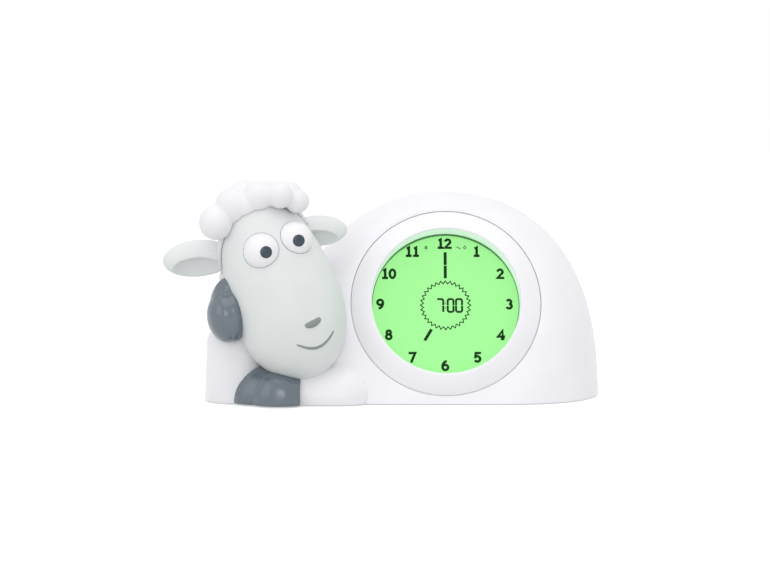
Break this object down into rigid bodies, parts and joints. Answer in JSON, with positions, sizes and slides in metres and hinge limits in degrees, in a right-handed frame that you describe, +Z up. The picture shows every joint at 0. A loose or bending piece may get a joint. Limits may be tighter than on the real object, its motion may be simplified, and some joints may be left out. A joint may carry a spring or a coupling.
{
  "type": "kids alarm clock with night light",
  "caption": "Bedside alarm clock with a green-lit round dial in a white dome, resting lamb head at its left, buttons on the back and a sliding battery door.",
  "frame": {"origin": "on the surface it stands on, under the middle of the whole clock's box", "axes": "+X to the right as seen from the front, +Y to the back, +Z up; the dial faces -Y and leans back"},
  "size_m": [0.2192, 0.1153, 0.11],
  "materials": {
    "white_abs": "satin moulded ABS, white",
    "ring_abs": "satin moulded ABS, white",
    "grey_abs": "satin painted ABS, pale grey",
    "dark_abs": "glossy moulded ABS, slate grey",
    "pupil_ink": "glossy black inserts",
    "foot_rubber": "matt grey rubber",
    "clear_lens": "clear acrylic",
    "lcd_glass": "green backlit liquid crystal glass",
    "light_guide_acrylic": "diffusing acrylic",
    "holder_abs": "matt ABS",
    "circuit_board": "solder-masked laminate",
    "led_body": "white LED package",
    "flex_film": "polyimide flex",
    "chip_black": "black epoxy and plastic",
    "header_nylon": "natural nylon",
    "steel_bright": "nickel-plated steel",
    "cell_jacket": "printed steel jacket, bare of print",
    "screw_steel": "zinc-plated steel",
    "button_abs": "satin grey ABS"
  },
  "bodies": {
    "clock": {"aa_cells": "cell_jacket", "backlight_leds": "led_body", "base_plate": "white_abs", "base_screws": "screw_steel", "board_screws": "screw_steel", "capacitors": "chip_black", "clock_chip": "chip_black", "contact_plates": "steel_bright", "contact_springs": "steel_bright", "crystal_can": "steel_bright", "display_holder": "holder_abs", "display_lens": "clear_lens", "ear_left": "grey_abs", "ear_right": "grey_abs", "eye_left": "white_abs", "eye_right": "white_abs", "face_ring": "ring_abs", "face_shell": "grey_abs", "front_shell": "white_abs", "head_screws": "screw_steel", "hoof_lying": "dark_abs", "hoof_raised": "dark_abs", "housing_screws": "screw_steel", "key_board": "circuit_board", "lcd_panel": "lcd_glass", "lcd_ribbon": "flex_film", "led_board": "circuit_board", "light_guide": "light_guide_acrylic", "main_board": "circuit_board", "power_socket": "steel_bright", "pupil_left": "pupil_ink", "pupil_right": "pupil_ink", "rear_shell": "white_abs", "rubber_feet": "foot_rubber", "slide_switch": "chip_black", "speaker": "chip_black", "speaker_retainer": "header_nylon", "tact_switches": "chip_black", "wire_headers": "header_nylon", "wool_cap": "white_abs"},
    "light_button": {"light_button": "button_abs"},
    "set_button": {"set_button": "button_abs"},
    "plus_button": {"plus_button": "button_abs"},
    "alarm_button": {"alarm_button": "button_abs"},
    "minus_button": {"minus_button": "button_abs"},
    "volume_button": {"volume_button": "button_abs"},
    "lock_slider": {"lock_slider": "button_abs"},
    "battery_door": {"battery_door": "white_abs"}
  },
  "joints": [
    {"name": "light_press", "type": "slide", "parent": "clock", "child": "light_button", "axis": [0, -0.9848, -0.1736], "range_m": [0, 0.001], "stiffness_N_per_m": 900},
    {"name": "set_press", "type": "slide", "parent": "clock", "child": "set_button", "axis": [0, -0.9848, -0.1736], "range_m": [0, 0.001], "stiffness_N_per_m": 900},
    {"name": "plus_press", "type": "slide", "parent": "clock", "child": "plus_button", "axis": [0, -0.9848, -0.1736], "range_m": [0, 0.001], "stiffness_N_per_m": 900},
    {"name": "alarm_press", "type": "slide", "parent": "clock", "child": "alarm_button", "axis": [0, -0.9848, -0.1736], "range_m": [0, 0.001], "stiffness_N_per_m": 900},
    {"name": "minus_press", "type": "slide", "parent": "clock", "child": "minus_button", "axis": [0, -0.9848, -0.1736], "range_m": [0, 0.001], "stiffness_N_per_m": 900},
    {"name": "volume_press", "type": "slide", "parent": "clock", "child": "volume_button", "axis": [0, -0.9848, -0.1736], "range_m": [0, 0.001], "stiffness_N_per_m": 900},
    {"name": "lock_slide", "type": "slide", "parent": "clock", "child": "lock_slider", "axis": [-1, 0, 0], "range_m": [0, 0.004]},
    {"name": "door_slide", "type": "slide", "parent": "clock", "child": "battery_door", "axis": [0, 1, 0], "range_m": [0, 0.058]}
  ]
}
